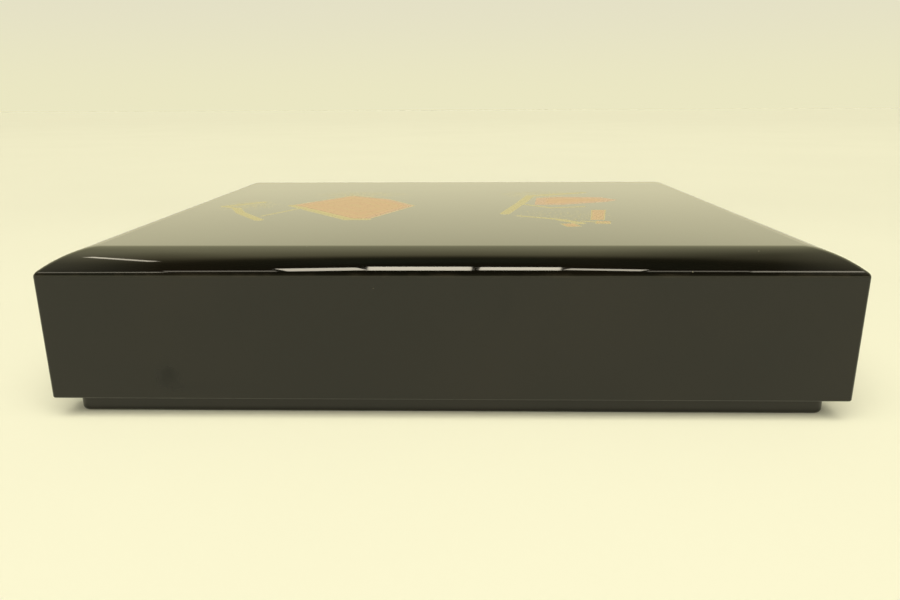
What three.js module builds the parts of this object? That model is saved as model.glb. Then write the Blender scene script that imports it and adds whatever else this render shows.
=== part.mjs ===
// A lacquer document box: a low, open body under a covering lid, which comes down over
// nearly all of the body and leaves a narrow strip of it showing at the foot.
//
// Millimetres. +X runs along the long side, +Y to the back, +Z up. The origin is the
// centre of the underside. A section is drawn as (inset, z), where the inset is measured
// inwards from the lid's outside face, and each of its points becomes one rounded
// rectangle around the box.

import * as THREE from "three";

// Overall sizes
const LID_LENGTH = 330; // outside, along X
const LID_WIDTH = 278; // outside, along Y
const BOX_HEIGHT = 70; // underside of the body to the flat top of the lid

// Lid
const FOOT_STRIP = 8.8; // height of the strip of body below the lid's rim
const LID_WALL = 5.5;
const LID_SHELL = 5; // thickness of the top board and the shoulder
const SHOULDER_INSET = 17; // from the outside face in to the crease around the flat top
const SHOULDER_RISE = 8.2; // from the arris up to the flat top
const SHOULDER_START = 9; // degrees by which the shoulder falls away at the crease
const CREASE_ROUNDING = 18; // softened edge between the flat top and the shoulder
const ARRIS_ROUNDING = 2.6; // softened edge between the wall and the shoulder
const LID_RIM_ROUNDING = 0.8;
const LID_CORNER = 1.6; // upright outside corners, in plan
const TOP_CORNER = 3; // corners of the flat top, in plan
const LID_INNER_CORNER = 3.5;

// Fit of the lid on the body
const SIDE_CLEARANCE = 1.5; // between the lid's inside face and the body
const SEAT_GAP = 0.3; // between the body's rim and the lid's ceiling, where the lid rests
const CORNER_EASE = 0.5; // how much rounder the body's corners are than the lid's inside

// Body
const BODY_WALL = 5;
const BODY_FLOOR = 5;
const BODY_INNER_CORNER = 3;
const BODY_RIM_ROUNDING = 1.2;
const BODY_FOOT_ROUNDING = 2; // outside edge of the underside
const BODY_FLOOR_FILLET = 3; // inside, where the walls meet the floor

// Facets
const CORNER_STEPS = 8; // on each plan corner
const SHOULDER_STEPS = 10;
const COVE_STEPS = 8; // the shoulder's inside
const EDGE_STEPS = 3; // on each small rounded edge

// The shoulder is an arc from the crease down to the arris, which leaves the crease at its
// starting angle. Its chord runs from one to the other.
const startAngle = THREE.MathUtils.degToRad(SHOULDER_START);
const chordAngle = Math.atan2(SHOULDER_RISE, SHOULDER_INSET);
const shoulderRadius = Math.hypot(SHOULDER_INSET, SHOULDER_RISE)
  / (2 * Math.sin(chordAngle - startAngle));
const shoulderCentreInset = SHOULDER_INSET + shoulderRadius * Math.sin(startAngle);
const shoulderCentreZ = BOX_HEIGHT - shoulderRadius * Math.cos(startAngle);
const coveRadius = shoulderRadius - LID_SHELL;

const bodyInset = LID_WALL + SIDE_CLEARANCE;
const bodyInnerInset = bodyInset + BODY_WALL;
const bodyCorner = LID_INNER_CORNER + CORNER_EASE;

const UP = Math.PI / 2;
const OUT = Math.PI;
const DOWN = 1.5 * Math.PI;
const IN = 2 * Math.PI;

// Height of a point at an inset, at a distance from the shoulder's centre line.
function heightUnderShoulder(inset, distance) {
  return shoulderCentreZ + Math.sqrt(distance ** 2 - (shoulderCentreInset - inset) ** 2);
}

// Inset of a point at a height, at a distance from the shoulder's centre line.
function insetUnderShoulder(z, distance) {
  return shoulderCentreInset - Math.sqrt(distance ** 2 - (z - shoulderCentreZ) ** 2);
}

// Direction from the shoulder's centre line to a point at an inset and a distance.
function angleUnderShoulder(inset, distance) {
  return UP + Math.asin((shoulderCentreInset - inset) / distance);
}

// Section points along an arc around (inset, z), each with its plan corner radius, which
// cornerAt gives for an inset. OUT is the direction towards the outside of the box.
function arcPoints(inset, z, radius, startAngle, endAngle, steps, cornerAt) {
  const clockwise = endAngle < startAngle;
  const arc = new THREE.EllipseCurve(inset, z, radius, radius, startAngle, endAngle, clockwise);
  return arc.getPoints(steps).map((p) => ({ inset: p.x, z: p.y, corner: cornerAt(p.x) }));
}

// One rounded rectangle around the box, anticlockwise seen from above.
function ringPoints({ inset, z, corner }) {
  const halfX = LID_LENGTH / 2 - inset;
  const halfY = LID_WIDTH / 2 - inset;
  const outline = new THREE.Path();
  outline.absarc(halfX - corner, halfY - corner, corner, 0, UP);
  outline.absarc(corner - halfX, halfY - corner, corner, UP, OUT);
  outline.absarc(corner - halfX, corner - halfY, corner, OUT, DOWN);
  outline.absarc(halfX - corner, corner - halfY, corner, DOWN, IN);
  // Path.getPoints puts two steps on an arc for each of its divisions.
  return outline.getPoints(CORNER_STEPS / 2).map((p) => new THREE.Vector3(p.x, p.y, z));
}

// The closed skin through a section's rings. The section starts at the edge of a level
// face that looks up and ends at the edge of one that looks down.
function skinGeometry(section) {
  const rings = section.map(ringPoints);
  const count = rings[0].length;
  const points = rings.flat();
  const faces = [];
  for (let r = 0; r + 1 < rings.length; r++) {
    for (let i = 0; i < count; i++) {
      const a = r * count + i;
      const b = r * count + ((i + 1) % count);
      faces.push(a, a + count, b + count);
      faces.push(a, b + count, b);
    }
  }
  const upper = points.push(new THREE.Vector3(0, 0, section[0].z)) - 1;
  const lower = points.push(new THREE.Vector3(0, 0, section.at(-1).z)) - 1;
  const last = (rings.length - 1) * count;
  for (let i = 0; i < count; i++) {
    const next = (i + 1) % count;
    faces.push(upper, i, next);
    faces.push(lower, last + next, last + i);
  }
  const geometry = new THREE.BufferGeometry().setFromPoints(points);
  geometry.setIndex(faces);
  geometry.computeVertexNormals();
  return geometry;
}

// The lid, from the edge of its flat top over the shoulder, down the wall, round the rim,
// up the inside and along the cove to the ceiling.
function lidGeometry() {
  const creaseReach = shoulderRadius - CREASE_ROUNDING;
  const creaseCentreZ = BOX_HEIGHT - CREASE_ROUNDING;
  const creaseInset = insetUnderShoulder(creaseCentreZ, creaseReach);
  const creaseAngle = angleUnderShoulder(creaseInset, creaseReach);
  const arrisReach = shoulderRadius - ARRIS_ROUNDING;
  const arrisCentreZ = heightUnderShoulder(ARRIS_ROUNDING, arrisReach);
  const arrisAngle = angleUnderShoulder(ARRIS_ROUNDING, arrisReach);
  const coveAngle = angleUnderShoulder(LID_WALL, coveRadius);
  const ceilingInset = insetUnderShoulder(BOX_HEIGHT - LID_SHELL, coveRadius);
  const ceilingAngle = angleUnderShoulder(ceilingInset, coveRadius);
  const rimCentreZ = FOOT_STRIP + LID_RIM_ROUNDING;
  const innerRimInset = LID_WALL - LID_RIM_ROUNDING;

  const cornerGrowth = (TOP_CORNER - LID_CORNER) / SHOULDER_INSET;
  const shoulderCorner = (inset) => LID_CORNER + cornerGrowth * inset;
  const rimCorner = (inset) => LID_CORNER - inset;
  const innerRimCorner = (inset) => LID_INNER_CORNER + LID_WALL - inset;
  const innerCorner = () => LID_INNER_CORNER;

  return skinGeometry([
    ...arcPoints(creaseInset, creaseCentreZ, CREASE_ROUNDING, UP, creaseAngle,
      EDGE_STEPS, shoulderCorner),
    ...arcPoints(shoulderCentreInset, shoulderCentreZ, shoulderRadius, creaseAngle,
      arrisAngle, SHOULDER_STEPS, shoulderCorner).slice(1),
    ...arcPoints(ARRIS_ROUNDING, arrisCentreZ, ARRIS_ROUNDING, arrisAngle, OUT,
      EDGE_STEPS, shoulderCorner).slice(1),
    ...arcPoints(LID_RIM_ROUNDING, rimCentreZ, LID_RIM_ROUNDING, OUT, DOWN,
      EDGE_STEPS, rimCorner),
    ...arcPoints(innerRimInset, rimCentreZ, LID_RIM_ROUNDING, DOWN, IN,
      EDGE_STEPS, innerRimCorner),
    ...arcPoints(shoulderCentreInset, shoulderCentreZ, coveRadius, coveAngle,
      ceilingAngle, COVE_STEPS, innerCorner),
  ]);
}

// The body, from its floor up the inside, over the rim, down the outside and round the
// foot to the underside.
function bodyGeometry() {
  // The lid's cove rests on the rounded outside edge of the rim, but for the seat gap.
  const rimEdgeInset = bodyInset + BODY_RIM_ROUNDING;
  const rimReach = coveRadius - SEAT_GAP - BODY_RIM_ROUNDING;
  const rimCentreZ = heightUnderShoulder(rimEdgeInset, rimReach);

  const outerCorner = (inset) => bodyCorner + bodyInset - inset;
  const innerCorner = (inset) => BODY_INNER_CORNER + bodyInnerInset - inset;

  return skinGeometry([
    ...arcPoints(bodyInnerInset + BODY_FLOOR_FILLET, BODY_FLOOR + BODY_FLOOR_FILLET,
      BODY_FLOOR_FILLET, DOWN, OUT, EDGE_STEPS, () => BODY_INNER_CORNER),
    ...arcPoints(bodyInnerInset - BODY_RIM_ROUNDING, rimCentreZ, BODY_RIM_ROUNDING,
      0, UP, EDGE_STEPS, innerCorner),
    ...arcPoints(rimEdgeInset, rimCentreZ, BODY_RIM_ROUNDING,
      UP, OUT, EDGE_STEPS, outerCorner),
    ...arcPoints(bodyInset + BODY_FOOT_ROUNDING, BODY_FOOT_ROUNDING, BODY_FOOT_ROUNDING,
      OUT, DOWN, EDGE_STEPS, outerCorner),
  ]);
}

const lidLacquer = new THREE.MeshStandardMaterial({
  color: 0x0d0b09,
  roughness: 0.06,
  metalness: 0,
});
const bodyLacquer = new THREE.MeshStandardMaterial({
  color: 0x0b0907,
  roughness: 0.12,
  metalness: 0,
});

function namedMesh(name, geometry, material) {
  const mesh = new THREE.Mesh(geometry, material);
  mesh.name = name;
  return mesh;
}

const box = new THREE.Group();
box.add(namedMesh("box_lid", lidGeometry(), lidLacquer));
box.add(namedMesh("box_body", bodyGeometry(), bodyLacquer));

export default box;
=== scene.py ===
"""A low black lacquer document box under a covering lid, with a small painted design.

The lid and the body are each one closed skin, modelled in edit mode from rounded
rectangles that are joined one to the next. Both wear a polished black lacquer, and the
lid's flat top carries gold, orange and pink painted figures. The sizes of the pieces, the
painted figures and the camera are in millimetres. Those of the nodes, the lamps and the
floor are in metres.
"""

import logging
import math
from dataclasses import dataclass
from enum import Enum
from typing import NamedTuple, Optional, Sequence, Union

import bmesh
import bpy
from mathutils import Matrix, Vector


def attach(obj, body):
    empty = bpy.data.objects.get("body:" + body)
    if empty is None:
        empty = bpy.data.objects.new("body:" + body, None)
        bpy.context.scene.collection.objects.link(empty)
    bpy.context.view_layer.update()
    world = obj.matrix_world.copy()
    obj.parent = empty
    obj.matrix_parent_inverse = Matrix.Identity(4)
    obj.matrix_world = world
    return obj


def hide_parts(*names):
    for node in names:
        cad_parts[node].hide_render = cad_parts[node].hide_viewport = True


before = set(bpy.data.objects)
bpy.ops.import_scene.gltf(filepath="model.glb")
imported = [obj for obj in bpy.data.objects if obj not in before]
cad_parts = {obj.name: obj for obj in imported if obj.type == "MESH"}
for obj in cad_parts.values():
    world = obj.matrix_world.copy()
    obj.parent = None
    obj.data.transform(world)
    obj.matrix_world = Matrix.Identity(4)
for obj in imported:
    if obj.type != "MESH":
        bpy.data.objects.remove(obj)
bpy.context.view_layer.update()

MM = 0.001
RIGHT_ANGLE = 90.0
FULL_TURN = 360.0

# Directions in a section of the box, in degrees
IN = 0.0
UP = 90.0
OUT = 180.0
DOWN = 270.0

# The mean of a noise, the bevel profile that is a true arc, and the least divisor
NOISE_MIDDLE = 0.5
ROUND_PROFILE = 0.5
LEAST_DIVISOR = 0.001

LOG = logging.getLogger("document_box")

Colour = tuple[float, float, float]
Point = tuple[float, float]
Pair = tuple[float, float]
Place = tuple[float, float, float]
Plug = Union[bpy.types.NodeSocket, float, Sequence[float]]


# Node trees


class Mottle(NamedTuple):
    """A soft noise: cells to the metre, finer layers on top of them, and their share."""

    scale: float
    detail: float = 2.0
    roughness: float = 0.5


class Fade(NamedTuple):
    """A span of a value, and the results at its start and its end."""

    start: float
    end: float
    low: float = 0.0
    high: float = 1.0


class NodeBench:
    """Adds and links the nodes of one tree, and hands back their output sockets."""

    def __init__(self, tree: bpy.types.NodeTree) -> None:
        """Works on a tree.

        Args:
            tree: The node tree of a material, a world or a group.
        """
        self.tree = tree

    def add(self, kind: str, **settings: object) -> bpy.types.Node:
        """Adds a node.

        Args:
            kind: The node's type name.
            settings: Values for the node's own properties.

        Returns:
            The new node.
        """
        node = self.tree.nodes.new(kind)
        for name, value in settings.items():
            setattr(node, name, value)
        return node

    def feed(self, socket: bpy.types.NodeSocket, value: Plug) -> None:
        """Links a socket to another, or sets it to a number, a vector or a colour.

        Args:
            socket: The input to feed.
            value: An output socket, or a plain value.
        """
        if isinstance(value, bpy.types.NodeSocket):
            self.tree.links.new(value, socket)
        elif socket.type == "RGBA" and len(value) == 3:
            socket.default_value = (*value, 1.0)
        else:
            socket.default_value = value

    def math(self, operation: str, *values: Plug, clamp: bool = False) -> bpy.types.NodeSocket:
        """Returns the result of a Math node.

        Args:
            operation: The node's operation.
            values: Its one, two or three inputs.
            clamp: Whether the result is held between 0 and 1.

        Returns:
            The result.
        """
        node = self.add("ShaderNodeMath", operation=operation, use_clamp=clamp)
        for socket, value in zip(node.inputs, values):
            self.feed(socket, value)
        return node.outputs[0]

    def vector(self, operation: str, *values: Plug) -> bpy.types.Node:
        """Returns a Vector Math node.

        Args:
            operation: The node's operation.
            values: Its vectors, in order.

        Returns:
            The node, because its result is a vector or a number by the operation.
        """
        node = self.add("ShaderNodeVectorMath", operation=operation)
        for socket, value in zip(node.inputs, values):
            self.feed(socket, value)
        return node

    def scaled(self, vector: Plug, factor: Plug) -> bpy.types.NodeSocket:
        """Returns a vector times a number.

        Args:
            vector: The vector or colour.
            factor: The number.

        Returns:
            The longer or shorter vector.
        """
        node = self.add("ShaderNodeVectorMath", operation="SCALE")
        self.feed(node.inputs[0], vector)
        self.feed(node.inputs["Scale"], factor)
        return node.outputs[0]

    def span(self, value: Plug, start: Plug, end: Plug, low: Plug = 0.0, high: Plug = 1.0,
             smooth: bool = True) -> bpy.types.NodeSocket:
        """Returns a value carried from one span to another, and held inside it.

        Args:
            value: What to carry.
            start: The value that gives low.
            end: The value that gives high.
            low: Result at start.
            high: Result at end.
            smooth: Whether the step is eased at both ends.

        Returns:
            The carried value.
        """
        node = self.add("ShaderNodeMapRange", clamp=True,
                        interpolation_type="SMOOTHSTEP" if smooth else "LINEAR")
        for name, plug in (("Value", value), ("From Min", start), ("From Max", end),
                           ("To Min", low), ("To Max", high)):
            self.feed(node.inputs[name], plug)
        return node.outputs[0]

    def blend(self, factor: Plug, first: Plug, second: Plug) -> bpy.types.NodeSocket:
        """Returns a number mixed from two.

        Args:
            factor: Share of the second.
            first: The number at 0.
            second: The number at 1.

        Returns:
            The mixed number.
        """
        node = self.add("ShaderNodeMix", data_type="FLOAT")
        for index, plug in ((0, factor), (2, first), (3, second)):
            self.feed(node.inputs[index], plug)
        return node.outputs[0]

    def tint(self, factor: Plug, first: Plug, second: Plug) -> bpy.types.NodeSocket:
        """Returns a colour mixed from two.

        Args:
            factor: Share of the second.
            first: The colour at 0.
            second: The colour at 1.

        Returns:
            The mixed colour.
        """
        node = self.add("ShaderNodeMix", data_type="RGBA")
        for index, plug in ((0, factor), (6, first), (7, second)):
            self.feed(node.inputs[index], plug)
        return node.outputs[2]

    def noise(self, position: Plug, mottle: Mottle) -> bpy.types.NodeSocket:
        """Returns a soft noise between 0 and 1.

        Args:
            position: Where the noise is read.
            mottle: How fine and how rough it is.

        Returns:
            The noise value.
        """
        node = self.add("ShaderNodeTexNoise")
        for name, plug in (("Vector", position), ("Scale", mottle.scale),
                           ("Detail", mottle.detail), ("Roughness", mottle.roughness)):
            self.feed(node.inputs[name], plug)
        return node.outputs[0]

    def axes(self, vector: Plug) -> bpy.types.NodeOutputs:
        """Returns the three parts of a vector.

        Args:
            vector: The vector.

        Returns:
            Its X, Y and Z, by those names.
        """
        node = self.add("ShaderNodeSeparateXYZ")
        self.feed(node.inputs[0], vector)
        return node.outputs

    def use(self, effect: bpy.types.NodeTree, **inputs: Plug) -> bpy.types.NodeOutputs:
        """Places an effect group with its own values.

        Args:
            effect: The shader node group.
            inputs: Its inputs, with _ for a space in a name.

        Returns:
            The group's outputs.
        """
        node = self.add("ShaderNodeGroup", node_tree=effect)
        for name, value in inputs.items():
            self.feed(node.inputs[name.replace("_", " ")], value)
        return node.outputs


def emptied_bench(owner: Union[bpy.types.Material, bpy.types.World]) -> NodeBench:
    """Empties the node tree of a material or a world.

    Args:
        owner: The material or the world.

    Returns:
        A bench on its tree.
    """
    owner.use_nodes = True
    owner.node_tree.nodes.clear()
    return NodeBench(owner.node_tree)


class SocketKind(Enum):
    """The kinds of socket that an effect group has."""

    NUMBER = "NodeSocketFloat"
    VECTOR = "NodeSocketVector"


class EffectShelf:
    """The shader node groups that the finishes share, each made once."""

    WEAR_MOTTLE = Mottle(90.0, 4.0, 0.62)
    WEAR_BREAKS = Fade(0.46, 0.62)
    SPECK_SIZES = Fade(0.0, 1.0, 0.4, 1.0)
    RIPPLE_MOTTLE = Mottle(16.0, 1.0, 0.4)
    PEEL_MOTTLE = Mottle(420.0)
    SMUDGE_MOTTLE = Mottle(260.0, 4.0, 0.65)
    SMUDGE_UNEVENNESS = 1.3
    SMUDGE_CORE = 0.25
    BEND_MOTTLE = Mottle(7.0, 1.0)
    BEND = 0.012
    HAIRLINE_MOTTLE = Mottle(1.0, 1.0)
    HAIRLINE_CELLS = (6.0, 900.0, 900.0)
    HAIRLINE_CUT = Fade(0.66, 0.74)
    STROKE_EDGE = 0.35 * MM

    def __init__(self) -> None:
        """Makes every group."""
        self.edge_wear = self._edge_wear()
        self.dust = self._dust()
        self.peel = self._peel()
        self.smudge = self._smudge()
        self.hairlines = self._hairlines()
        self.stroke = self._stroke()
        self.side = self._side()

    @staticmethod
    def _group(name: str, vectors: Sequence[str], numbers: Sequence[str],
               output: str) -> tuple[bpy.types.NodeTree, NodeBench, bpy.types.NodeOutputs]:
        """Makes an empty group with its sockets.

        Args:
            name: The group's name.
            vectors: Names of its vector inputs.
            numbers: Names of its number inputs.
            output: Name of its one output, a number.

        Returns:
            The tree, a bench on it, and the sockets that bring the inputs in.
        """
        tree = bpy.data.node_groups.new(name, "ShaderNodeTree")
        for kind, labels in ((SocketKind.VECTOR, vectors), (SocketKind.NUMBER, numbers)):
            for label in labels:
                tree.interface.new_socket(label, in_out="INPUT", socket_type=kind.value)
        tree.interface.new_socket(output, in_out="OUTPUT", socket_type=SocketKind.NUMBER.value)
        bench = NodeBench(tree)
        return tree, bench, bench.add("NodeGroupInput").outputs

    @staticmethod
    def _close(bench: NodeBench, result: bpy.types.NodeSocket) -> None:
        """Feeds a group's one output."""
        bench.feed(bench.add("NodeGroupOutput").inputs[0], result)

    def _edge_wear(self) -> bpy.types.NodeTree:
        """Makes broken rubbing along the upright corners and one level edge.

        Returns:
            The group, which gives the mask of the rubbing.
        """
        tree, bench, given = self._group(
            "edge_wear", ["Position"], ["Half Length", "Half Width", "Edge Height", "Reach"],
            "Wear")
        axes = bench.axes(given["Position"])
        from_end = bench.math("SUBTRACT", given["Half Length"],
                              bench.math("ABSOLUTE", axes["X"]))
        from_front = bench.math("SUBTRACT", given["Half Width"],
                                bench.math("ABSOLUTE", axes["Y"]))
        rise = bench.math("ABSOLUTE", bench.math("SUBTRACT", axes["Z"], given["Edge Height"]))
        corner = bench.math("MAXIMUM", from_end, from_front)
        level = bench.math("MAXIMUM", rise, bench.math("MINIMUM", from_end, from_front))
        nearness = bench.span(bench.math("MINIMUM", corner, level), given["Reach"], 0.0)
        broken = bench.span(bench.noise(given["Position"], self.WEAR_MOTTLE), *self.WEAR_BREAKS)
        self._close(bench, bench.math("MULTIPLY", nearness, broken))
        return tree

    def _dust(self) -> bpy.types.NodeTree:
        """Makes scattered specks of dust or powder.

        Returns:
            The group, which gives the mask of the specks.
        """
        tree, bench, given = self._group(
            "dust_specks", ["Position"], ["Scale", "Speck", "Share"], "Dust")
        cells = bench.add("ShaderNodeTexVoronoi", feature="F1")
        bench.feed(cells.inputs["Vector"], given["Position"])
        bench.feed(cells.inputs["Scale"], given["Scale"])
        shade = bench.add("ShaderNodeSeparateColor")
        bench.feed(shade.inputs[0], cells.outputs["Color"])
        chosen = bench.math("LESS_THAN", shade.outputs[0], given["Share"])
        size = bench.math("MULTIPLY", given["Speck"],
                          bench.span(shade.outputs[1], *self.SPECK_SIZES, smooth=False))
        speck = bench.math("LESS_THAN", cells.outputs["Distance"], size)
        self._close(bench, bench.math("MULTIPLY", chosen, speck))
        return tree

    def _peel(self) -> bpy.types.NodeTree:
        """Makes a polished coat's slow ripple and finer orange peel.

        Returns:
            The group, which gives their height.
        """
        tree, bench, given = self._group(
            "lacquer_peel", ["Position"], ["Ripple", "Peel"], "Height")
        ripple = bench.math("MULTIPLY", bench.noise(given["Position"], self.RIPPLE_MOTTLE),
                            given["Ripple"])
        peel = bench.math("MULTIPLY", bench.noise(given["Position"], self.PEEL_MOTTLE),
                          given["Peel"])
        self._close(bench, bench.math("ADD", ripple, peel))
        return tree

    def _smudge(self) -> bpy.types.NodeTree:
        """Makes one rubbed smudge, an uneven oval around a centre.

        Returns:
            The group, which gives the mask of the smudge.
        """
        tree, bench, given = self._group(
            "rubbed_smudge", ["Position", "Centre", "Stretch"], ["Softness"], "Smudge")
        apart = bench.vector("SUBTRACT", given["Position"], given["Centre"]).outputs[0]
        oval = bench.vector("DIVIDE", apart, given["Stretch"]).outputs[0]
        reach = bench.vector("LENGTH", oval).outputs["Value"]
        noise = bench.noise(given["Position"], self.SMUDGE_MOTTLE)
        uneven = bench.math("MULTIPLY", bench.math("SUBTRACT", noise, NOISE_MIDDLE),
                            self.SMUDGE_UNEVENNESS)
        start = bench.math("ADD", 1.0, given["Softness"])
        self._close(bench, bench.span(bench.math("ADD", reach, uneven), start,
                                      self.SMUDGE_CORE))
        return tree

    def _hairlines(self) -> bpy.types.NodeTree:
        """Makes fine wiping scratches that run along the box.

        Returns:
            The group, which gives the mask of the scratches.
        """
        tree, bench, given = self._group(
            "wiping_hairlines", ["Position"], ["Amount"], "Hairlines")
        bent = bench.vector("ADD", given["Position"], bench.scaled(
            bench.noise(given["Position"], self.BEND_MOTTLE), self.BEND)).outputs[0]
        drawn = bench.vector("MULTIPLY", bent, self.HAIRLINE_CELLS).outputs[0]
        lines = bench.span(bench.noise(drawn, self.HAIRLINE_MOTTLE), *self.HAIRLINE_CUT)
        self._close(bench, bench.math("MULTIPLY", lines, given["Amount"]))
        return tree

    def _stroke(self) -> bpy.types.NodeTree:
        """Makes one straight painted stroke, seen in plan.

        Returns:
            The group, which gives the mask of the stroke.
        """
        tree, bench, given = self._group(
            "paint_stroke", ["Position", "Start", "End"], ["Half Width"], "Paint")
        run = bench.vector("SUBTRACT", given["End"], given["Start"]).outputs[0]
        apart = bench.vector("SUBTRACT", given["Position"], given["Start"]).outputs[0]
        along = bench.math("DIVIDE", bench.vector("DOT_PRODUCT", apart, run).outputs["Value"],
                           bench.vector("DOT_PRODUCT", run, run).outputs["Value"], clamp=True)
        across = bench.vector("SUBTRACT", apart, bench.scaled(run, along)).outputs[0]
        edge = bench.math("ADD", given["Half Width"], self.STROKE_EDGE)
        self._close(bench, bench.span(bench.vector("LENGTH", across).outputs["Value"],
                                      edge, given["Half Width"]))
        return tree

    def _side(self) -> bpy.types.NodeTree:
        """Makes the side of a line in plan.

        Returns:
            The group, which gives how far a place lies to the left of the line.
        """
        tree, bench, given = self._group(
            "paint_side", ["Position", "Start", "End"], [], "Inside")
        run = bench.vector("NORMALIZE", bench.vector(
            "SUBTRACT", given["End"], given["Start"]).outputs[0]).outputs[0]
        apart = bench.vector("SUBTRACT", given["Position"], given["Start"]).outputs[0]
        turn = bench.axes(bench.vector("CROSS_PRODUCT", run, apart).outputs[0])
        self._close(bench, turn["Z"])
        return tree


# Finishes


class Pigment(Enum):
    """The paints of the design on the lid."""

    GOLD = "gold"
    ORANGE = "orange"
    PINK = "pink"


@dataclass(frozen=True)
class Stroke:
    """One painted stroke, in millimetres in plan."""

    pigment: Pigment
    start: Point
    end: Point
    half_width: float


@dataclass(frozen=True)
class Panel:
    """One painted convex panel, in millimetres in plan, its corners anticlockwise."""

    pigment: Pigment
    corners: tuple[Point, ...]
    border: float = 0.0
    core: Optional[Pigment] = None
    core_inset: float = 0.0
    nested_lines: float = 0.0


@dataclass(frozen=True)
class Powder:
    """A soft cloud of sprinkled gold powder, in millimetres in plan."""

    centre: Point
    stretch: Point
    share: float


@dataclass(frozen=True)
class PaintedDesign:
    """Cards, ribbons and strips of cut gold, scattered over the lid's flat top."""

    strokes: tuple[Stroke, ...] = (
        Stroke(Pigment.GOLD, (-131.0, -6.0), (-114.0, 12.0), 2.3),
        Stroke(Pigment.GOLD, (-132.0, -5.0), (-122.0, -13.0), 1.4),
        Stroke(Pigment.GOLD, (-122.0, -13.0), (-114.4, -30.0), 2.3),
        Stroke(Pigment.GOLD, (-114.4, -30.0), (-97.6, -54.0), 2.3),
        Stroke(Pigment.GOLD, (-99.6, -41.3), (-83.1, -8.2), 0.8),
        Stroke(Pigment.GOLD, (-93.0, -2.5), (-80.5, -17.5), 2.2),
        Stroke(Pigment.GOLD, (-80.5, -17.5), (-52.5, -52.0), 2.8),
        Stroke(Pigment.GOLD, (-52.5, -52.0), (-43.0, -52.5), 2.2),
        Stroke(Pigment.GOLD, (28.2, -34.0), (41.0, 11.5), 2.5),
        Stroke(Pigment.GOLD, (41.0, 11.5), (48.0, 40.0), 2.6),
        Stroke(Pigment.GOLD, (48.0, 40.0), (84.0, 56.0), 2.2),
        Stroke(Pigment.GOLD, (38.0, 5.0), (55.3, -13.0), 1.3),
        Stroke(Pigment.GOLD, (55.3, -13.0), (74.0, -8.0), 1.3),
        Stroke(Pigment.GOLD, (35.0, -41.5), (56.0, -54.0), 1.2),
        Stroke(Pigment.GOLD, (55.0, -54.5), (63.5, -65.0), 2.4),
        Stroke(Pigment.GOLD, (65.2, -58.5), (76.4, -64.7), 0.9),
    )
    panels: tuple[Panel, ...] = (
        Panel(Pigment.PINK, ((-94.0, -1.0), (-81.5, -17.0), (-52.0, -52.5), (-42.0, -52.5),
                             (-21.5, -3.7), (-39.0, 25.0), (-64.7, 43.0)),
              1.0, Pigment.ORANGE, 5.0, 9.0),
        Panel(Pigment.PINK, ((47.0, 0.0), (62.0, -1.0), (90.0, 11.0), (99.0, 20.0),
                             (91.0, 33.0), (66.0, 35.5), (51.0, 30.0)),
              0.0, Pigment.ORANGE, 9.0),
        Panel(Pigment.ORANGE, ((69.7, -55.5), (77.1, -55.5), (84.3, -20.6), (76.1, -20.5)), 0.7),
        Panel(Pigment.ORANGE, ((70.2, -66.5), (77.8, -67.2), (79.4, -59.0), (72.0, -58.5)), 0.7),
        Panel(Pigment.ORANGE, ((53.0, -66.4), (55.6, -76.0), (63.0, -74.4), (60.4, -64.8)), 0.9),
    )
    powder: tuple[Powder, ...] = (
        Powder((-60.0, 48.0), (36.0, 22.0), 0.8),
        Powder((-118.0, -2.0), (20.0, 26.0), 0.8),
        Powder((56.0, 48.0), (32.0, 22.0), 0.9),
        Powder((58.0, -40.0), (30.0, 24.0), 0.35),
    )
    line_width: float = 0.5
    panel_edge: float = 0.3
    core_start: float = 0.4
    core_strength: float = 0.85
    cloud_core: float = 0.2
    powder_scale: float = 1100.0
    powder_speck: float = 0.62
    top_height: float = 69.5

    @staticmethod
    def _place(point: Point) -> Place:
        """Returns a plan point in metres."""
        return (point[0] * MM, point[1] * MM, 0.0)

    def _inside(self, bench: NodeBench, shelf: EffectShelf, plan: Plug,
                panel: Panel) -> bpy.types.NodeSocket:
        """Returns how far inside a panel a place lies.

        Args:
            bench: Where the nodes go.
            shelf: The shared groups.
            plan: The place in plan.
            panel: The panel.

        Returns:
            The distance in from the nearest side, below zero outside.
        """
        inside: Optional[bpy.types.NodeSocket] = None
        for start, end in zip(panel.corners, panel.corners[1:] + panel.corners[:1]):
            side = bench.use(shelf.side, Position=plan, Start=self._place(start),
                             End=self._place(end))[0]
            inside = side if inside is None else bench.math("MINIMUM", inside, side)
        return inside

    def masks(self, bench: NodeBench, shelf: EffectShelf,
              position: Plug) -> dict[Pigment, bpy.types.NodeSocket]:
        """Returns each paint's mask on the lid.

        Args:
            bench: Where the nodes go.
            shelf: The shared groups.
            position: The place on the lid.

        Returns:
            A mask for each paint.
        """
        plan = bench.vector("MULTIPLY", position, (1.0, 1.0, 0.0)).outputs[0]
        on_top = bench.math("GREATER_THAN", bench.axes(position)["Z"], self.top_height * MM)
        masks: dict[Pigment, bpy.types.NodeSocket] = {}

        def lay(pigment: Pigment, mask: bpy.types.NodeSocket) -> None:
            """Adds one figure to its paint's mask."""
            masks[pigment] = (bench.math("MAXIMUM", masks[pigment], mask)
                              if pigment in masks else mask)

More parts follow.
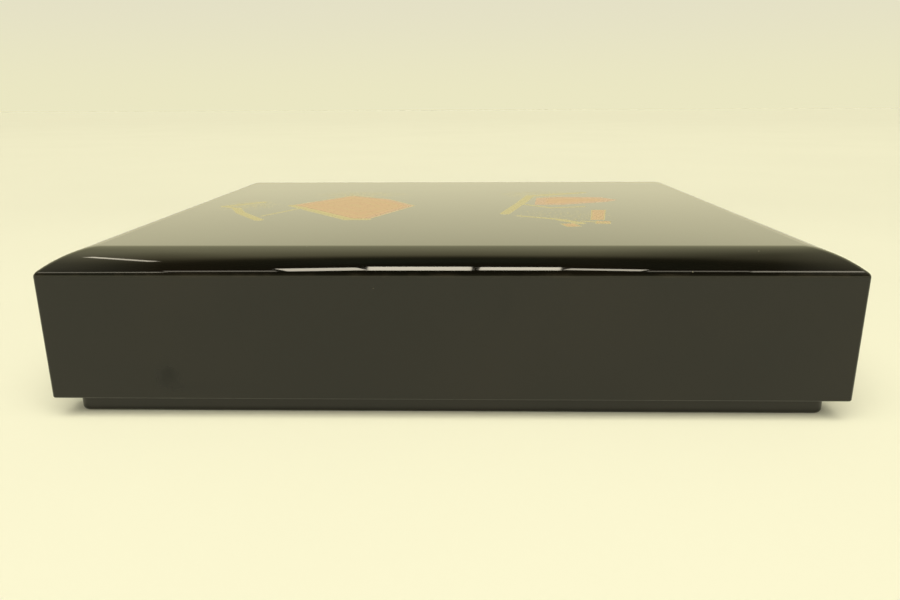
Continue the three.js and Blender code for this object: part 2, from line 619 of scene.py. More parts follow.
        for stroke in self.strokes:
            lay(stroke.pigment, bench.use(
                shelf.stroke, Position=plan, Start=self._place(stroke.start),
                End=self._place(stroke.end), Half_Width=stroke.half_width * MM)[0])
        for panel in self.panels:
            inside = self._inside(bench, shelf, plan, panel)
            fill = bench.span(inside, 0.0, self.panel_edge * MM)
            lay(panel.pigment, fill)
            if panel.border:
                rim = bench.math("LESS_THAN", inside, panel.border * MM)
                lay(Pigment.GOLD, bench.math("MULTIPLY", fill, rim))
            if panel.core:
                lay(panel.core, bench.span(inside, panel.core_inset * self.core_start * MM,
                                           panel.core_inset * MM, 0.0, self.core_strength))
            if panel.nested_lines:
                step = bench.math("WRAP", inside, panel.nested_lines * MM, 0.0)
                line = bench.math("LESS_THAN", step, self.line_width * MM)
                lay(Pigment.GOLD, bench.math("MULTIPLY", fill, line))
        for cloud in self.powder:
            apart = bench.vector("SUBTRACT", plan, self._place(cloud.centre)).outputs[0]
            oval = bench.vector("DIVIDE", apart, (cloud.stretch[0] * MM,
                                                  cloud.stretch[1] * MM, 1.0)).outputs[0]
            near = bench.span(bench.vector("LENGTH", oval).outputs["Value"], 1.0,
                              self.cloud_core, 0.0, cloud.share)
            lay(Pigment.GOLD, bench.use(shelf.dust, Position=plan, Scale=self.powder_scale,
                                        Speck=self.powder_speck, Share=near)[0])
        return {pigment: bench.math("MULTIPLY", mask, on_top) for pigment, mask in masks.items()}


@dataclass(frozen=True)
class Paint:
    """The look of one paint."""

    colour: Colour
    metal: float
    roughness: float


@dataclass(frozen=True)
class Smudge:
    """A rubbed mark on the lacquer, in millimetres."""

    centre: Place
    stretch: Place
    softness: float
    strength: float


@dataclass
class Coat:
    """The colour, roughness and metal that a finish has built up so far."""

    bench: NodeBench
    colour: Plug
    rough: Plug
    metal: Plug = 0.0

    def lay(self, mask: Plug, colour: Colour, rough: float) -> None:
        """Lays a colour and a roughness over the coat where a mask is 1."""
        self.colour = self.bench.tint(mask, self.colour, colour)
        self.rough = self.bench.blend(mask, self.rough, rough)


@dataclass(frozen=True)
class LacquerFinish:
    """Polished black lacquer, with its ripple, wiping marks, wear, dust and smudges."""

    name: str
    black: Colour
    brown: Colour
    roughness: float
    half_length: float
    half_width: float
    worn_edge_height: float
    plain_below: float
    ripple: float = 0.009 * MM
    peel: float = 0.0012 * MM
    upward: Fade = Fade(0.1, 0.7)
    downward: Fade = Fade(-0.6, -0.9)
    clouding: Mottle = Mottle(14.0, 3.0, 0.55)
    browning: Fade = Fade(0.35, 0.7)
    gloss_spread: Pair = (0.8, 1.25)
    hairline_amount: float = 0.05
    worn: Colour = (0.018, 0.0145, 0.011)
    worn_roughness: float = 0.3
    wear_reach: float = 1.3 * MM
    wear_strength: float = 0.5
    smudges: tuple[Smudge, ...] = ()
    smudged: Colour = (0.0005, 0.0005, 0.0005)
    smudge_roughness: float = 0.55
    dust: Colour = (0.36, 0.33, 0.27)
    dust_roughness: float = 0.8
    dust_share: float = 0.05
    dust_scale: float = 240.0
    dust_speck: float = 0.055
    dust_settling: Fade = Fade(0.0, 1.0, 0.25, 1.0)
    design: Optional[PaintedDesign] = None
    paint_mottle: Mottle = Mottle(900.0)
    paint_cover: Fade = Fade(0.3, 0.7, 0.72, 1.0)
    paints: tuple[tuple[Pigment, Paint], ...] = (
        (Pigment.PINK, Paint((0.455, 0.245, 0.165), 0.0, 0.30)),
        (Pigment.ORANGE, Paint((0.455, 0.245, 0.108), 0.0, 0.30)),
        (Pigment.GOLD, Paint((0.50, 0.43, 0.20), 0.8, 0.32)),
    )
    refraction: float = 1.5

    def _ground(self, bench: NodeBench, shelf: EffectShelf, place: Plug,
                facing: Plug) -> Coat:
        """Lays the clouded black, its wiping marks and the worn edges.

        Args:
            bench: Where the nodes go.
            shelf: The shared groups.
            place: The place on the piece.
            facing: How far the surface looks up.

        Returns:
            The coat so far.
        """
        cloud = bench.noise(place, self.clouding)
        glossiest, dullest = (self.roughness * share for share in self.gloss_spread)
        rough = bench.blend(bench.span(facing, *self.downward),
                            bench.blend(cloud, glossiest, dullest), self.plain_below)
        hairlines = bench.use(shelf.hairlines, Position=place, Amount=self.hairline_amount)[0]
        coat = Coat(bench, bench.tint(bench.span(cloud, *self.browning), self.black, self.brown),
                    bench.math("ADD", rough, hairlines))
        wear = bench.use(shelf.edge_wear, Position=place, Half_Length=self.half_length,
                         Half_Width=self.half_width, Edge_Height=self.worn_edge_height,
                         Reach=self.wear_reach)[0]
        coat.lay(bench.math("MULTIPLY", wear, self.wear_strength), self.worn,
                 self.worn_roughness)
        return coat

    def _paint(self, coat: Coat, design: PaintedDesign, shelf: EffectShelf,
               place: Plug) -> None:
        """Paints the design on the coat.

        Args:
            coat: The coat so far.
            design: The painted figures.
            shelf: The shared groups.
            place: The place on the piece.
        """
        bench = coat.bench
        masks = design.masks(bench, shelf, place)
        cover = bench.span(bench.noise(place, self.paint_mottle), *self.paint_cover)
        for pigment, paint in self.paints:
            mask = bench.math("MULTIPLY", masks[pigment], cover)
            coat.lay(mask, paint.colour, paint.roughness)
            coat.metal = bench.blend(mask, coat.metal, paint.metal)

    def _soil(self, coat: Coat, shelf: EffectShelf, place: Plug, facing: Plug) -> None:
        """Lays the rubbed smudges and the dust on the coat.

        Args:
            coat: The coat so far.
            shelf: The shared groups.
            place: The place on the piece.
            facing: How far the surface looks up.
        """
        bench = coat.bench
        for smudge in self.smudges:
            mark = bench.use(shelf.smudge, Position=place,
                             Centre=tuple(v * MM for v in smudge.centre),
                             Stretch=tuple(v * MM for v in smudge.stretch),
                             Softness=smudge.softness)[0]
            coat.lay(bench.math("MULTIPLY", mark, smudge.strength), self.smudged,
                     self.smudge_roughness)
        specks = bench.use(shelf.dust, Position=place, Scale=self.dust_scale,
                           Speck=self.dust_speck, Share=self.dust_share)[0]
        settled = bench.span(bench.span(facing, *self.upward), *self.dust_settling)
        coat.lay(bench.math("MULTIPLY", specks, settled), self.dust, self.dust_roughness)

    def _surface(self, coat: Coat, shelf: EffectShelf, place: Plug) -> None:
        """Makes the shader of the finished coat, with its ripple and orange peel.

        Args:
            coat: The finished coat.
            shelf: The shared groups.
            place: The place on the piece.
        """
        bench = coat.bench
        bump = bench.add("ShaderNodeBump")
        bench.feed(bump.inputs["Strength"], 1.0)
        bench.feed(bump.inputs["Distance"], 1.0)
        bench.feed(bump.inputs["Height"], bench.use(
            shelf.peel, Position=place, Ripple=self.ripple, Peel=self.peel)[0])
        shader = bench.add("ShaderNodeBsdfPrincipled")
        shader.inputs["IOR"].default_value = self.refraction
        bench.feed(shader.inputs["Base Color"], coat.colour)
        bench.feed(shader.inputs["Roughness"], coat.rough)
        bench.feed(shader.inputs["Metallic"], coat.metal)
        bench.feed(shader.inputs["Normal"], bump.outputs[0])
        bench.feed(bench.add("ShaderNodeOutputMaterial").inputs["Surface"], shader.outputs[0])

    def dress(self, piece: bpy.types.Object, shelf: EffectShelf) -> None:
        """Gives a piece this finish, which reads the piece's Object coordinates.

        Args:
            piece: The finished mesh.
            shelf: The shared node groups.
        """
        material = bpy.data.materials.new(self.name)
        bench = emptied_bench(material)
        place = bench.add("ShaderNodeTexCoord").outputs["Object"]
        facing = bench.axes(bench.add("ShaderNodeNewGeometry").outputs["Normal"])["Z"]
        coat = self._ground(bench, shelf, place, facing)
        if self.design:
            self._paint(coat, self.design, shelf, place)
        self._soil(coat, shelf, place, facing)
        self._surface(coat, shelf, place)
        piece.data.materials.clear()
        piece.data.materials.append(material)


# Pieces


@dataclass(frozen=True)
class Ring:
    """One rounded rectangle around the box, in millimetres from the lid's outside face."""

    inset: float
    height: float
    corner: float


@dataclass
class SkinModeller:
    """Models one closed skin in edit mode, ring by ring."""

    name: str
    rings: list[Ring]
    length: float
    width: float
    corner_steps: int = 12
    tag: str = "ring_number"

    def build(self) -> bpy.types.Object:
        """Models the skin and closes both of its level ends.

        Returns:
            The finished piece, at the origin, with smooth faces.
        """
        bpy.ops.object.select_all(action="DESELECT")
        bpy.ops.mesh.primitive_plane_add(size=1.0, location=(0.0, 0.0, 0.0))
        piece = bpy.context.object
        piece.name = piece.data.name = self.name
        bpy.ops.object.mode_set(mode="EDIT")
        bpy.ops.mesh.select_mode(type="VERT")
        bmesh.from_edit_mesh(piece.data).verts.layers.int.new(self.tag)
        for number, ring in enumerate(self.rings, start=1):
            self._add_ring(piece, number, ring)
        for number in range(1, len(self.rings)):
            self._select(piece, number, number + 1)
            bpy.ops.mesh.bridge_edge_loops(type="SINGLE")
        for number in (1, len(self.rings)):
            self._select(piece, number)
            bpy.ops.mesh.edge_face_add()
        bpy.ops.mesh.select_all(action="SELECT")
        bpy.ops.mesh.normals_make_consistent(inside=False)
        bpy.ops.object.mode_set(mode="OBJECT")
        piece.data.attributes.remove(piece.data.attributes[self.tag])
        bpy.ops.object.shade_smooth()
        flat = piece.modifiers.new("flat_faces_stay_flat", "WEIGHTED_NORMAL")
        flat.mode = "FACE_AREA"
        bpy.ops.object.modifier_apply(modifier=flat.name)
        return piece

    def _add_ring(self, piece: bpy.types.Object, number: int, ring: Ring) -> None:
        """Adds one rounded rectangle of edges and tags it.

        Args:
            piece: The object in edit mode.
            number: The ring's number, from 1.
            ring: Its inset, height and corner radius.
        """
        if number > 1:
            bpy.ops.mesh.select_all(action="DESELECT")
            bpy.ops.mesh.primitive_plane_add(size=1.0, location=(0.0, 0.0, 0.0))
        size = ((self.length - 2 * ring.inset) * MM, (self.width - 2 * ring.inset) * MM, 1.0)
        bpy.ops.transform.resize(value=size, center_override=(0.0, 0.0, 0.0))
        bpy.ops.transform.translate(value=(0.0, 0.0, ring.height * MM))
        bpy.ops.mesh.bevel(affect="VERTICES", offset_type="OFFSET", offset=ring.corner * MM,
                           segments=self.corner_steps, profile=ROUND_PROFILE,
                           clamp_overlap=False)
        bpy.ops.mesh.delete(type="ONLY_FACE")
        mesh = bmesh.from_edit_mesh(piece.data)
        tag = mesh.verts.layers.int[self.tag]
        for vertex in mesh.verts:
            if vertex[tag] == 0:
                vertex[tag] = number
        bmesh.update_edit_mesh(piece.data)

    def _select(self, piece: bpy.types.Object, *numbers: int) -> None:
        """Selects some rings and nothing else.

        Args:
            piece: The object in edit mode.
            numbers: The rings' numbers.
        """
        bpy.ops.mesh.select_all(action="DESELECT")
        mesh = bmesh.from_edit_mesh(piece.data)
        tag = mesh.verts.layers.int[self.tag]
        for vertex in mesh.verts:
            vertex.select = vertex[tag] in numbers
        mesh.select_flush_mode()
        bmesh.update_edit_mesh(piece.data)


@dataclass(frozen=True)
class PlanCorner:
    """The corner radius in plan, which may grow with the inset, in millimetres."""

    outside: float
    growth: float = 0.0

    def radius_at(self, inset: float) -> float:
        """Returns the radius at an inset."""
        return self.outside + self.growth * inset


def arc_rings(inset: float, height: float, radius: float, start: float, end: float,
              steps: int, corner: PlanCorner) -> list[Ring]:
    """Lays rings along an arc of the section.

    Args:
        inset: The arc's centre, inwards from the lid's outside face.
        height: The arc's centre, above the underside.
        radius: The arc's radius.
        start: First angle, in degrees, by the directions IN, UP, OUT and DOWN.
        end: Last angle.
        steps: How many parts the arc has.
        corner: The plan corners of the rings.

    Returns:
        The rings in order.
    """
    rings = []
    for step in range(steps + 1):
        angle = math.radians(start + (end - start) * step / steps)
        reach = inset + radius * math.cos(angle)
        rings.append(Ring(reach, height + radius * math.sin(angle), corner.radius_at(reach)))
    return rings


@dataclass
class BoxForm:
    """The sizes that the lid and the body share, in millimetres."""

    length: float = 330.0
    width: float = 278.0
    height: float = 70.0
    lid_wall: float = 5.5
    lid_shell: float = 5.0
    shoulder_inset: float = 17.0
    shoulder_rise: float = 8.2
    shoulder_start: float = 9.0
    side_clearance: float = 1.5
    seat_gap: float = 0.3

    @property
    def shoulder_radius(self) -> float:
        """Radius of the shoulder's arc, from the crease down to the arris."""
        chord = math.atan2(self.shoulder_rise, self.shoulder_inset)
        return math.hypot(self.shoulder_inset, self.shoulder_rise) / (
            2 * math.sin(chord - math.radians(self.shoulder_start)))

    @property
    def cove_radius(self) -> float:
        """Radius of the cove inside the shoulder."""
        return self.shoulder_radius - self.lid_shell

    @property
    def centre_inset(self) -> float:
        """Inset of the shoulder's centre."""
        return self.shoulder_inset + self.shoulder_radius * math.sin(
            math.radians(self.shoulder_start))

    @property
    def centre_height(self) -> float:
        """Height of the shoulder's centre."""
        return self.height - self.shoulder_radius * math.cos(math.radians(self.shoulder_start))

    def height_at(self, inset: float, distance: float) -> float:
        """Returns the height at an inset, at a distance from the shoulder's centre."""
        return self.centre_height + math.sqrt(distance ** 2 - (self.centre_inset - inset) ** 2)

    def inset_at(self, height: float, distance: float) -> float:
        """Returns the inset at a height, at a distance from the shoulder's centre."""
        return self.centre_inset - math.sqrt(distance ** 2 - (height - self.centre_height) ** 2)

    def angle_at(self, inset: float, distance: float) -> float:
        """Returns the direction from the shoulder's centre, in degrees, where 90 is up."""
        return UP + math.degrees(math.asin((self.centre_inset - inset) / distance))


@dataclass
class CoveringLid:
    """The lid: flat top, rounded shoulder, upright walls, and its true inside."""

    form: BoxForm
    finish: LacquerFinish
    foot_strip: float = 8.8
    crease_rounding: float = 18.0
    arris_rounding: float = 2.6
    rim_rounding: float = 0.8
    corner: float = 1.6
    top_corner: float = 3.0
    inner_corner: float = 3.5
    crease_steps: int = 5
    shoulder_steps: int = 24
    arris_steps: int = 9
    cove_steps: int = 10
    edge_steps: int = 5

    def _rings(self) -> list[Ring]:
        """Lays out the lid's section.

        Returns:
            Its rings, from the flat top over the shoulder and round the rim to the ceiling.
        """
        form = self.form
        crease_reach = form.shoulder_radius - self.crease_rounding
        crease_height = form.height - self.crease_rounding
        crease_inset = form.inset_at(crease_height, crease_reach)
        crease_angle = form.angle_at(crease_inset, crease_reach)
        arris_reach = form.shoulder_radius - self.arris_rounding
        arris_height = form.height_at(self.arris_rounding, arris_reach)
        arris_angle = form.angle_at(self.arris_rounding, arris_reach)
        cove_angle = form.angle_at(form.lid_wall, form.cove_radius)
        ceiling_angle = form.angle_at(form.inset_at(form.height - form.lid_shell,
                                                    form.cove_radius), form.cove_radius)
        rim_height = self.foot_strip + self.rim_rounding
        growth = (self.top_corner - self.corner) / form.shoulder_inset
        shoulder_corner = PlanCorner(self.corner, growth)
        rim_corner = PlanCorner(self.corner, -1.0)
        inner_rim_corner = PlanCorner(self.inner_corner + form.lid_wall, -1.0)
        return [
            *arc_rings(crease_inset, crease_height, self.crease_rounding, UP, crease_angle,
                       self.crease_steps, shoulder_corner),
            *arc_rings(form.centre_inset, form.centre_height, form.shoulder_radius,
                       crease_angle, arris_angle, self.shoulder_steps, shoulder_corner)[1:],
            *arc_rings(self.arris_rounding, arris_height, self.arris_rounding,
                       arris_angle, OUT, self.arris_steps, shoulder_corner)[1:],
            *arc_rings(self.rim_rounding, rim_height, self.rim_rounding, OUT, DOWN,
                       self.edge_steps, rim_corner),
            *arc_rings(form.lid_wall - self.rim_rounding, rim_height, self.rim_rounding,
                       DOWN, IN + FULL_TURN, self.edge_steps, inner_rim_corner),
            *arc_rings(form.centre_inset, form.centre_height, form.cove_radius,
                       cove_angle, ceiling_angle, self.cove_steps,
                       PlanCorner(self.inner_corner)),
        ]

    def build(self, shelf: EffectShelf) -> bpy.types.Object:
        """Models and dresses the lid.

        Args:
            shelf: The shared node groups.

        Returns:
            The lid, which stands for the CAD node box_lid.
        """
        piece = SkinModeller("lacquer_lid", self._rings(), self.form.length,
                             self.form.width).build()
        self.finish.dress(piece, shelf)
        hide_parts("box_lid")
        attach(piece, "root")
        return piece


@dataclass
class OpenBody:
    """The body: an open tray that the lid covers down to its foot."""

    form: BoxForm
    finish: LacquerFinish
    wall: float = 5.0
    floor: float = 5.0
    inner_corner: float = 3.0
    outer_corner: float = 4.0
    rim_rounding: float = 1.2
    foot_rounding: float = 2.0
    floor_fillet: float = 3.0
    edge_steps: int = 6

    def _rings(self) -> list[Ring]:
        """Lays out the body's section.

        Returns:
            Its rings, from the floor up the inside and over the rim to the underside.
        """
        form = self.form
        outside = form.lid_wall + form.side_clearance
        inside = outside + self.wall
        rim_edge = outside + self.rim_rounding
        rim_height = form.height_at(
            rim_edge, form.cove_radius - form.seat_gap - self.rim_rounding)
        outer = PlanCorner(self.outer_corner + outside, -1.0)
        inner = PlanCorner(self.inner_corner + inside, -1.0)
        return [
            *arc_rings(inside + self.floor_fillet, self.floor + self.floor_fillet,
                       self.floor_fillet, DOWN, OUT, self.edge_steps,
                       PlanCorner(self.inner_corner)),
            *arc_rings(inside - self.rim_rounding, rim_height, self.rim_rounding,
                       IN, UP, self.edge_steps, inner),
            *arc_rings(rim_edge, rim_height, self.rim_rounding, UP, OUT,
                       self.edge_steps, outer),
            *arc_rings(outside + self.foot_rounding, self.foot_rounding, self.foot_rounding,
                       OUT, DOWN, self.edge_steps, outer),
        ]

    def build(self, shelf: EffectShelf) -> bpy.types.Object:
        """Models and dresses the body.

        Args:
            shelf: The shared node groups.

        Returns:
            The body, which stands for the CAD node box_body.
        """
        piece = SkinModeller("lacquer_body", self._rings(), self.form.length,
                             self.form.width).build()
        self.finish.dress(piece, shelf)
        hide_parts("box_body")
        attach(piece, "root")
        return piece


# Studio


@dataclass(frozen=True)
class PhotoCamera:
    """The camera at the photograph's place and angle."""

    location: Place = (7.42, -406.193, 126.51)
    lens: float = 28.079
    sensor: float = 36.0
    nearest: float = 10.0
    pitch: float = 15.641
    yaw: float = -1.319
    roll: float = 0.266

    def place(self) -> None:
        """Adds the camera and makes it the scene's."""
        pitch, yaw, roll = (math.radians(v) for v in (self.pitch, self.yaw, self.roll))
        ahead = Vector((math.sin(yaw) * math.cos(pitch), math.cos(yaw) * math.cos(pitch),
                        -math.sin(pitch)))
        right = Vector((math.cos(yaw), -math.sin(yaw), 0.0))
        down = ahead.cross(right)
        turned_right = right * math.cos(roll) + down * math.sin(roll)
        turned_down = down * math.cos(roll) - right * math.sin(roll)
        axes = Matrix((turned_right, -turned_down, -ahead)).transposed()
        data = bpy.data.cameras.new("photo_camera")
        data.lens = self.lens
        data.sensor_width = self.sensor
        data.clip_start = self.nearest * MM
        camera = bpy.data.objects.new("photo_camera", data)
        bpy.context.scene.collection.objects.link(camera)
        camera.matrix_world = Matrix.Translation(Vector(self.location) * MM) @ axes.to_4x4()
        bpy.context.scene.camera = camera


@dataclass(frozen=True)
class LampPanel:
    """One panel of the overhead lamp, by its place over the box, in metres."""

    centre: Point
    size: Pair
    radiance: float
    turn: float = 0.0


class LightKind(Enum):
    """The kinds of light in the studio."""

    AREA = "AREA"
    SUN = "SUN"


@dataclass(frozen=True)
class Studio:
    """A pale floor, a pale surround with a dark ceiling, and soft light from above.

    The surround's colours stand by elevation, in degrees. The lacquer sees them dimmer
    towards both sides and the front, by the cosines that the fades give.
    """

    lamp_height: float = 1.07
    panels: tuple[LampPanel, ...] = (
        LampPanel((-0.257, -0.113), (0.154, 0.088), 11.0, 16.0),
        LampPanel((-0.077, -0.082), (0.190, 0.122), 13.0),
        LampPanel((0.107, -0.086), (0.148, 0.100), 13.0, -2.0),
        LampPanel((0.262, -0.118), (0.146, 0.052), 9.0, -16.0),
        LampPanel((-0.445, -0.178), (0.210, 0.040), 2.8, 3.0),
        LampPanel((-0.705, -0.285), (0.310, 0.120), 4.5, 6.0),
        LampPanel((0.430, -0.170), (0.185, 0.036), 2.4),
        LampPanel((0.700, -0.180), (0.350, 0.046), 4.4),
        LampPanel((-0.672, 0.278), (0.270, 0.028), 6.5, -51.0),
    )
    lamp_colour: Colour = (1.0, 0.92, 0.73)
    daylight_colour: Colour = (1.0, 0.955, 0.655)
    daylight: float = 3.75
    daylight_spread: float = 76.0
    daylight_tilt: float = 32.0
    daylight_place: Place = (0.0, -0.5, 2.0)
    floor_colour: Colour = (0.82, 0.82, 0.82)
    floor_roughness: float = 0.9
    floor_gloss: float = 0.1
    floor_half: float = 14.0
    # Painted floor light and shade: lighter in front, darker behind and far off
    floor_painted_light_span: Fade = Fade(0.5, -0.35)
    floor_painted_shade_and_light: Pair = (0.95, 1.07)
    floor_painted_shade_reach: Fade = Fade(0.9, 6.0)
    far_painted_shade: float = 0.90
    floor_mottle: Mottle = Mottle(3.0)
    floor_unevenness: Fade = Fade(0.2, 0.8, 0.99, 1.01)
    surround: tuple[tuple[float, Colour], ...] = (
        (0.0, (0.84, 0.79, 0.53)), (4.0, (0.97, 0.91, 0.60)), (6.5, (1.15, 1.08, 0.71)),
        (10.0, (1.11, 1.05, 0.68)), (16.0, (0.95, 0.90, 0.56)), (24.0, (0.84, 0.80, 0.47)),
        (32.0, (1.00, 0.96, 0.57)), (44.0, (1.18, 1.11, 0.66)), (50.0, (1.10, 1.03, 0.60)),
        (56.0, (0.99, 0.91, 0.52)), (59.0, (0.75, 0.69, 0.39)), (61.5, (0.43, 0.39, 0.21)),
        (64.0, (0.17, 0.16, 0.09)), (67.0, (0.08, 0.09, 0.05)), (73.0, (0.07, 0.09, 0.06)),
        (78.0, (0.02, 0.022, 0.014)), (90.0, (0.02, 0.022, 0.014)),
    )
    left_dimming: Fade = Fade(-0.95, -0.50, 0.25, 1.0)
    right_dimming: Fade = Fade(0.22, 0.62, 1.0, 0.40)
    sides_raised: Pair = (14.0, 50.0)
    front: Fade = Fade(0.25, -0.15)
    front_raised: Pair = (16.0, 34.0)
    front_dimming: Fade = Fade(0.0, 1.0, 1.0, 0.10)
    side_glow: Colour = (0.42, 0.40, 0.28)
    glow_reach: Fade = Fade(0.40, 0.54)
    glow_raised: Pair = (35.0, 50.0)
    horizon: Colour = (0.83, 0.80, 0.545)
    backdrop: Colour = (0.775, 0.745, 0.565)
    backdrop_raised: Pair = (0.0, 9.0)
    brightest: float = 1.25
    scattered: Colour = (0.12, 0.115, 0.08)

    @staticmethod
    def _raised(bench: NodeBench, elevation: Plug, angles: Pair) -> bpy.types.NodeSocket:
        """Returns how far an elevation has come from one angle to another.

        Args:
            bench: Where the nodes go.
            elevation: The elevation as a share of a right angle.
            angles: Both angles, in degrees.

        Returns:
            0 at the first angle and 1 at the second.
        """
        return bench.span(elevation, *(angle / RIGHT_ANGLE for angle in angles))

    def _dimming(self, bench: NodeBench, axes: bpy.types.NodeOutputs,
                 elevation: Plug) -> bpy.types.NodeSocket:
        """Returns how bright each side of the surround is.

        Args:
            bench: Where the nodes go.
            axes: The direction's parts.
            elevation: The direction's elevation as a share of a right angle.

        Returns:
            The share that is left of the surround's light.
        """
        level = bench.math("SQRT", bench.math(
            "ADD", bench.math("MULTIPLY", axes["X"], axes["X"]),
            bench.math("MULTIPLY", axes["Y"], axes["Y"])))
        level = bench.math("MAXIMUM", level, LEAST_DIVISOR)
        rearward = bench.math("DIVIDE", axes["Y"], level)
        sideways = bench.math("DIVIDE", axes["X"], level)
        left = bench.span(sideways, *self.left_dimming, smooth=False)
        right = bench.span(sideways, *self.right_dimming, smooth=False)
        sides = bench.blend(self._raised(bench, elevation, self.sides_raised), 1.0,
                            bench.math("MULTIPLY", left, right))
        ahead = bench.math("MULTIPLY", bench.span(rearward, *self.front),
                           self._raised(bench, elevation, self.front_raised))
        return bench.math("MULTIPLY", sides,
                          bench.span(ahead, *self.front_dimming, smooth=False))

    def _world(self) -> None:
        """Makes the surround: what the lacquer, the camera and the rough surfaces see."""
        world = bpy.data.worlds.new("pale_surround")
        bpy.context.scene.world = world
        bench = emptied_bench(world)
        axes = bench.axes(bench.add("ShaderNodeTexCoord").outputs["Generated"])
        elevation = bench.math("DIVIDE", bench.math("ARCSINE", axes["Z"]),
                               math.radians(RIGHT_ANGLE))
        ramp = bench.add("ShaderNodeValToRGB")
        bench.feed(ramp.inputs[0], elevation)
        stops = ramp.color_ramp.elements
        while len(stops) < len(self.surround):
            stops.new(position=0.5)
        for stop, (angle, _) in zip(stops, self.surround):
            stop.position = angle / RIGHT_ANGLE
        for stop, (_, colour) in zip(stops, self.surround):
            stop.color = (*(v / self.brightest for v in colour), 1.0)
        glow = bench.math(
            "MULTIPLY", self._raised(bench, elevation, self.glow_raised),
            bench.span(bench.math("ABSOLUTE", axes["X"]), *self.glow_reach, smooth=False))
        kept = bench.scaled(ramp.outputs[0], self._dimming(bench, axes, elevation))
        seen = bench.add("ShaderNodeBackground")
        bench.feed(seen.inputs["Color"], bench.vector(
            "ADD", kept, bench.scaled(self.side_glow, glow)).outputs[0])
        seen.inputs["Strength"].default_value = self.brightest
        behind = bench.add("ShaderNodeBackground")
        bench.feed(behind.inputs["Color"], bench.tint(
            self._raised(bench, elevation, self.backdrop_raised), self.horizon, self.backdrop))
        scattered = bench.add("ShaderNodeBackground")
        bench.feed(scattered.inputs["Color"], self.scattered)
        ray = bench.add("ShaderNodeLightPath")
        in_view = bench.add("ShaderNodeMixShader")
        bench.feed(in_view.inputs[0], ray.outputs["Is Camera Ray"])
        bench.feed(in_view.inputs[1], seen.outputs[0])
        bench.feed(in_view.inputs[2], behind.outputs[0])
        choice = bench.add("ShaderNodeMixShader")
        bench.feed(choice.inputs[0], ray.outputs["Is Diffuse Ray"])
        bench.feed(choice.inputs[1], in_view.outputs[0])
        bench.feed(choice.inputs[2], scattered.outputs[0])
        bench.feed(bench.add("ShaderNodeOutputWorld").inputs["Surface"], choice.outputs[0])

    def _floor(self) -> None:
        """Adds the floor, with painted light in front and painted shade behind and far off."""
        bpy.ops.object.select_all(action="DESELECT")
        bpy.ops.mesh.primitive_plane_add(size=2 * self.floor_half, location=(0.0, 0.0, 0.0))
        floor = bpy.context.object
        floor.name = floor.data.name = "plain_floor"
        material = bpy.data.materials.new("paper_with_painted_shade")
        bench = emptied_bench(material)
        place = bench.add("ShaderNodeTexCoord").outputs["Object"]
        # Painted light and shade: lighter in front, darker behind and far off
        near = bench.span(bench.axes(place)["Y"], *self.floor_painted_light_span, smooth=False)
        far = bench.span(bench.vector("LENGTH", place).outputs["Value"], *self.floor_painted_shade_reach)
        uneven = bench.span(bench.noise(place, self.floor_mottle), *self.floor_unevenness)
        shade = bench.math("MULTIPLY", bench.blend(
            far, bench.blend(near, *self.floor_painted_shade_and_light), self.far_painted_shade), uneven)
        colour = bench.scaled(self.floor_colour, shade)
        shader = bench.add("ShaderNodeBsdfPrincipled")
        shader.inputs["Roughness"].default_value = self.floor_roughness
        shader.inputs["Specular IOR Level"].default_value = self.floor_gloss
        bench.feed(shader.inputs["Base Color"], colour)
        bench.feed(bench.add("ShaderNodeOutputMaterial").inputs["Surface"], shader.outputs[0])
        floor.data.materials.append(material)

    @staticmethod
    def _light(kind: LightKind, name: str, location: Place, turn: Place) -> bpy.types.Object:
        """Adds a light.

        Args:
            kind: The kind of light.
            name: Its name.
            location: Its place, in metres.
            turn: Its rotation, in degrees.

        Returns:
            The light object.
        """
        light = bpy.data.objects.new(name, bpy.data.lights.new(name, kind.value))
        bpy.context.scene.collection.objects.link(light)
        light.location = location
        light.rotation_euler = [math.radians(v) for v in turn]
        return light

    def _lamp(self) -> None:
        """Hangs the row of lamp panels, which only the lacquer's gloss sees."""
        for number, panel in enumerate(self.panels):
            light = self._light(LightKind.AREA, f"lamp_panel_{number}",
                                (*panel.centre, self.lamp_height), (0.0, 0.0, panel.turn))
            light.data.shape = "RECTANGLE"
            light.data.size, light.data.size_y = panel.size
            light.data.energy = panel.radiance * math.pi * panel.size[0] * panel.size[1]
            light.data.color = self.lamp_colour
            light.visible_diffuse = False
            light.visible_camera = False

    def _daylight(self) -> None:
        """Adds the broad soft light that the floor and the paint receive."""
        light = self._light(LightKind.SUN, "soft_daylight", self.daylight_place,
                            (self.daylight_tilt, 0.0, 0.0))
        light.data.energy = self.daylight
        light.data.color = self.daylight_colour
        light.data.angle = math.radians(self.daylight_spread)
        light.visible_glossy = False

    def build(self) -> None:
        """Sets up the whole studio."""
        self._world()
        self._floor()
        self._lamp()
        self._daylight()
        settings = bpy.context.scene.view_settings
        settings.view_transform = "Standard"
        settings.look = "None"


# The box


LID_FINISH = LacquerFinish(
    name="polished_lid_lacquer",
    black=(0.0032, 0.0030, 0.0023),
    brown=(0.0052, 0.0042, 0.0030),
    roughness=0.035,
    half_length=165.0 * MM,
    half_width=139.0 * MM,
    worn_edge_height=61.6 * MM,
    plain_below=0.16,
    smudges=(
        Smudge((-115.1, -139.0, 18.1), (6.0, 6.0, 6.0), 0.35, 0.9),
        Smudge((-101.0, -139.0, 14.4), (13.0, 6.0, 2.2), 0.5, 0.35),
        Smudge((23.0, -139.0, 49.7), (2.6, 6.0, 7.0), 0.6, 0.35),
    ),
    design=PaintedDesign(),
)

BODY_FINISH = LacquerFinish(
    name="softer_body_lacquer",
    black=(0.0034, 0.0030, 0.0023),
    brown=(0.0060, 0.0046, 0.0032),
    roughness=0.085,
    half_length=158.0 * MM,
    half_width=132.0 * MM,
    worn_edge_height=0.8 * MM,
    plain_below=0.28,
    dust_share=0.08,
)


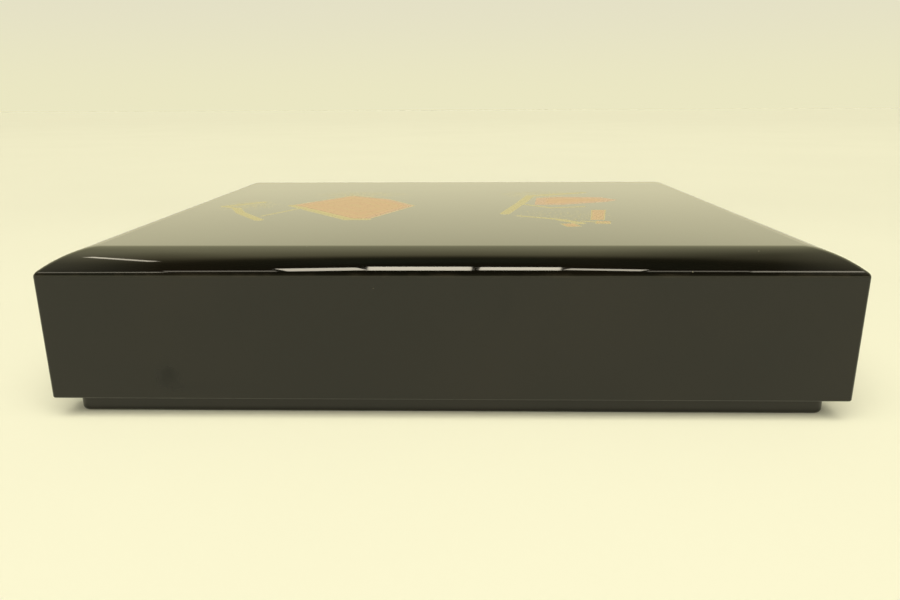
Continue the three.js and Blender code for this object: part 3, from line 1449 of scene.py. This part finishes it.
def main() -> None:
    """Builds the camera, the lid, the body and the studio, and reports each piece."""
    logging.basicConfig(level=logging.INFO, format="%(name)s: %(message)s")
    PhotoCamera().place()
    shelf = EffectShelf()
    form = BoxForm()
    for assembly in (CoveringLid(form, LID_FINISH), OpenBody(form, BODY_FINISH)):
        piece = assembly.build(shelf)
        LOG.info("%s: %d faces, %s", piece.name, len(piece.data.polygons),
                 piece.data.materials[0].name)
    Studio().build()
    LOG.info("studio ready")


if __name__ == "__main__":
    main()
